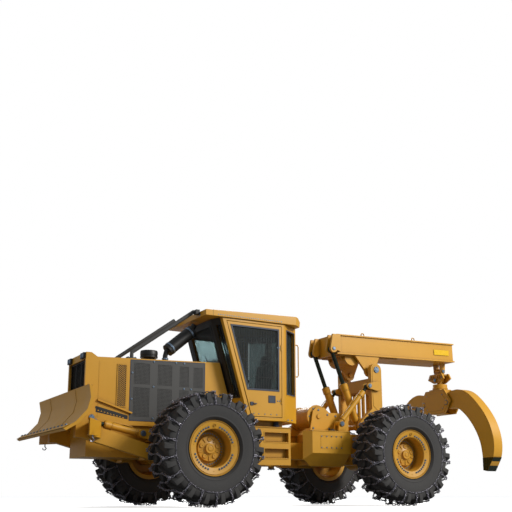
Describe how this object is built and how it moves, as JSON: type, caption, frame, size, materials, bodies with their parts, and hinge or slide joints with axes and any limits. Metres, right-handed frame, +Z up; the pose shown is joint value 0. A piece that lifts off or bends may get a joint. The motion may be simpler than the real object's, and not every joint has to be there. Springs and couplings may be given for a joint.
{
  "type": "grapple skidder",
  "caption": "Articulated four-wheel forestry tractor with a front blade, screened cab, hinged arch and boom, and a hanging grapple for dragging logs.",
  "frame": {"origin": "floor level, under the centre of the machine's bounding box", "axes": "+X forward towards the blade, +Y to the machine's left, +Z up"},
  "size_m": [8.61, 3.36, 3.35],
  "materials": {
    "yellow_paint": "satin",
    "grey_paint": "satin",
    "black_paint": "satin",
    "tyre_rubber": "matte",
    "chromed_rod": "polished",
    "window_glass": "gloss"
  },
  "bodies": {
    "front": {"front_frame": "yellow_paint", "front_axle": "yellow_paint", "hood": "yellow_paint", "radiator_grille": "black_paint", "engine_panel_left": "grey_paint", "engine_panel_right": "grey_paint", "engine_block": "grey_paint", "air_intake": "black_paint", "exhaust": "black_paint", "limb_riser_left": "grey_paint", "limb_riser_right": "grey_paint", "cab": "yellow_paint", "cab_roof": "yellow_paint", "front_glass": "window_glass", "rear_glass": "window_glass", "seat": "black_paint"},
    "rear": {"rear_frame": "yellow_paint", "rear_axle": "yellow_paint", "butt_plate": "yellow_paint"},
    "blade": {"blade": "yellow_paint"},
    "arch": {"arch": "yellow_paint"},
    "boom": {"boom": "yellow_paint"},
    "crosshead": {"crosshead": "yellow_paint"},
    "rotator": {"rotator": "yellow_paint"},
    "grapple": {"grapple_head": "yellow_paint"},
    "winch_drum": {"winch_drum": "yellow_paint"},
    "tong_left": {"tong_left": "yellow_paint"},
    "door_left": {"door_left": "yellow_paint", "door_window_left": "window_glass"},
    "blade_left_barrel": {"blade_left_barrel": "yellow_paint"},
    "blade_left_rod": {"blade_left_rod": "chromed_rod"},
    "arch_left_barrel": {"arch_left_barrel": "yellow_paint"},
    "arch_left_rod": {"arch_left_rod": "chromed_rod"},
    "boom_left_barrel": {"boom_left_barrel": "yellow_paint"},
    "boom_left_rod": {"boom_left_rod": "chromed_rod"},
    "wheel_front_left": {"tyre_front_left": "tyre_rubber", "rim_front_left": "yellow_paint"},
    "wheel_rear_left": {"tyre_rear_left": "tyre_rubber", "rim_rear_left": "yellow_paint"},
    "tong_right": {"tong_right": "yellow_paint"},
    "door_right": {"door_right": "yellow_paint", "door_window_right": "window_glass"},
    "blade_right_barrel": {"blade_right_barrel": "yellow_paint"},
    "blade_right_rod": {"blade_right_rod": "chromed_rod"},
    "arch_right_barrel": {"arch_right_barrel": "yellow_paint"},
    "arch_right_rod": {"arch_right_rod": "chromed_rod"},
    "boom_right_barrel": {"boom_right_barrel": "yellow_paint"},
    "boom_right_rod": {"boom_right_rod": "chromed_rod"},
    "wheel_front_right": {"tyre_front_right": "tyre_rubber", "rim_front_right": "yellow_paint"},
    "wheel_rear_right": {"tyre_rear_right": "tyre_rubber", "rim_rear_right": "yellow_paint"}
  },
  "joints": [
    {"name": "steering", "type": "hinge", "parent": "front", "child": "rear", "pos_m": [0.035, 0, 0], "axis": [0, 0, 1], "range_deg": [-45, 45]},
    {"name": "wheel_front_left_spin", "type": "hinge", "parent": "front", "child": "wheel_front_left", "pos_m": [1.99, 1.31, 0.9], "axis": [0, 1, 0], "continuous": true},
    {"name": "wheel_front_right_spin", "type": "hinge", "parent": "front", "child": "wheel_front_right", "pos_m": [1.99, -1.31, 0.9], "axis": [0, 1, 0], "continuous": true},
    {"name": "wheel_rear_left_spin", "type": "hinge", "parent": "rear", "child": "wheel_rear_left", "pos_m": [-1.92, 1.31, 0.9], "axis": [0, 1, 0], "continuous": true},
    {"name": "wheel_rear_right_spin", "type": "hinge", "parent": "rear", "child": "wheel_rear_right", "pos_m": [-1.92, -1.31, 0.9], "axis": [0, 1, 0], "continuous": true},
    {"name": "blade_lift", "type": "hinge", "parent": "front", "child": "blade", "pos_m": [2.655, 0, 0.84], "axis": [0, 1, 0], "range_deg": [-8, 40]},
    {"name": "arch_swing", "type": "hinge", "parent": "rear", "child": "arch", "pos_m": [-1.715, 0, 1.46], "axis": [0, 1, 0], "range_deg": [-30, 5]},
    {"name": "boom_lift", "type": "hinge", "parent": "arch", "child": "boom", "pos_m": [-2.005, 0, 2.56], "axis": [0, -1, 0], "range_deg": [-25, 15]},
    {"name": "crosshead_swing", "type": "hinge", "parent": "boom", "child": "crosshead", "pos_m": [-4.125, 0, 2.745], "axis": [0, 1, 0], "range_deg": [-25, 25]},
    {"name": "grapple_sway", "type": "hinge", "parent": "crosshead", "child": "rotator", "pos_m": [-4.125, 0, 2.56], "axis": [1, 0, 0], "range_deg": [-25, 25]},
    {"name": "grapple_turn", "type": "hinge", "parent": "rotator", "child": "grapple", "pos_m": [-4.125, 0, 2.34], "axis": [0, 0, 1], "continuous": true},
    {"name": "tong_left_close", "type": "hinge", "parent": "grapple", "child": "tong_left", "pos_m": [-4.125, 0.34, 2.06], "axis": [1, 0, 0], "range_deg": [-43, 6]},
    {"name": "tong_right_close", "type": "hinge", "parent": "grapple", "child": "tong_right", "pos_m": [-4.125, -0.34, 2.06], "axis": [-1, 0, 0], "range_deg": [-43, 6]},
    {"name": "winch_spin", "type": "hinge", "parent": "rear", "child": "winch_drum", "pos_m": [-0.785, 0, 1.62], "axis": [0, 1, 0], "continuous": true},
    {"name": "door_left_open", "type": "hinge", "parent": "front", "child": "door_left", "pos_m": [0.267, 0.7662, 1.45], "axis": [0, 0, 1], "range_deg": [0, 85]},
    {"name": "door_right_open", "type": "hinge", "parent": "front", "child": "door_right", "pos_m": [0.267, -0.7662, 1.45], "axis": [0, 0, -1], "range_deg": [0, 85]},
    {"name": "blade_left_barrel_tilt", "type": "hinge", "parent": "front", "child": "blade_left_barrel", "pos_m": [2.812, 0.6, 1.152], "axis": [0, 1, 0], "range_deg": [-9.21, 45.65]},
    {"name": "blade_left_rod_slide", "type": "slide", "parent": "blade_left_barrel", "child": "blade_left_rod", "axis": [0.9803, 0, 0.1975], "range_m": [-0.0468, 0.226]},
    {"name": "arch_left_barrel_tilt", "type": "hinge", "parent": "rear", "child": "arch_left_barrel", "pos_m": [-1.135, 0.52, 1.48], "axis": [0, 1, 0], "range_deg": [-18.54, 3.17]},
    {"name": "arch_left_rod_slide", "type": "slide", "parent": "arch_left_barrel", "child": "arch_left_rod", "axis": [-0.6642, 0, 0.7475], "range_m": [-0.0366, 0.2099]},
    {"name": "boom_left_barrel_tilt", "type": "hinge", "parent": "arch", "child": "boom_left_barrel", "pos_m": [-1.715, 0.3, 1.46], "axis": [0, 1, 0], "range_deg": [-6.22, 10.3]},
    {"name": "boom_left_rod_slide", "type": "slide", "parent": "boom_left_barrel", "child": "boom_left_rod", "axis": [0.3661, 0, 0.9306], "range_m": [-0.3137, 0.189]},
    {"name": "blade_right_barrel_tilt", "type": "hinge", "parent": "front", "child": "blade_right_barrel", "pos_m": [2.812, -0.6, 1.152], "axis": [0, 1, 0], "range_deg": [-9.21, 45.65]},
    {"name": "blade_right_rod_slide", "type": "slide", "parent": "blade_right_barrel", "child": "blade_right_rod", "axis": [0.9803, 0, 0.1975], "range_m": [-0.0468, 0.226]},
    {"name": "arch_right_barrel_tilt", "type": "hinge", "parent": "rear", "child": "arch_right_barrel", "pos_m": [-1.135, -0.52, 1.48], "axis": [0, 1, 0], "range_deg": [-18.54, 3.17]},
    {"name": "arch_right_rod_slide", "type": "slide", "parent": "arch_right_barrel", "child": "arch_right_rod", "axis": [-0.6642, 0, 0.7475], "range_m": [-0.0366, 0.2099]},
    {"name": "boom_right_barrel_tilt", "type": "hinge", "parent": "arch", "child": "boom_right_barrel", "pos_m": [-1.715, -0.3, 1.46], "axis": [0, 1, 0], "range_deg": [-6.22, 10.3]},
    {"name": "boom_right_rod_slide", "type": "slide", "parent": "boom_right_barrel", "child": "boom_right_rod", "axis": [0.3661, 0, 0.9306], "range_m": [-0.3137, 0.189]}
  ],
  "couplings": [
    {"joint": "tong_right_close", "follows": "tong_left_close", "ratio": 1},
    {"joint": "blade_left_barrel_tilt", "follows": "blade_lift", "ratio": 1.1387},
    {"joint": "blade_left_rod_slide", "follows": "blade_lift", "m_per_rad": 0.32092},
    {"joint": "arch_left_barrel_tilt", "follows": "arch_swing", "ratio": 0.6145},
    {"joint": "arch_left_rod_slide", "follows": "arch_swing", "m_per_rad": -0.39701},
    {"joint": "boom_left_barrel_tilt", "follows": "boom_lift", "ratio": -0.40794},
    {"joint": "boom_left_rod_slide", "follows": "boom_lift", "m_per_rad": 0.71447},
    {"joint": "blade_right_barrel_tilt", "follows": "blade_lift", "ratio": 1.1387},
    {"joint": "blade_right_rod_slide", "follows": "blade_lift", "m_per_rad": 0.32092},
    {"joint": "arch_right_barrel_tilt", "follows": "arch_swing", "ratio": 0.6145},
    {"joint": "arch_right_rod_slide", "follows": "arch_swing", "m_per_rad": -0.39701},
    {"joint": "boom_right_barrel_tilt", "follows": "boom_lift", "ratio": -0.40794},
    {"joint": "boom_right_rod_slide", "follows": "boom_lift", "m_per_rad": 0.71447}
  ]
}
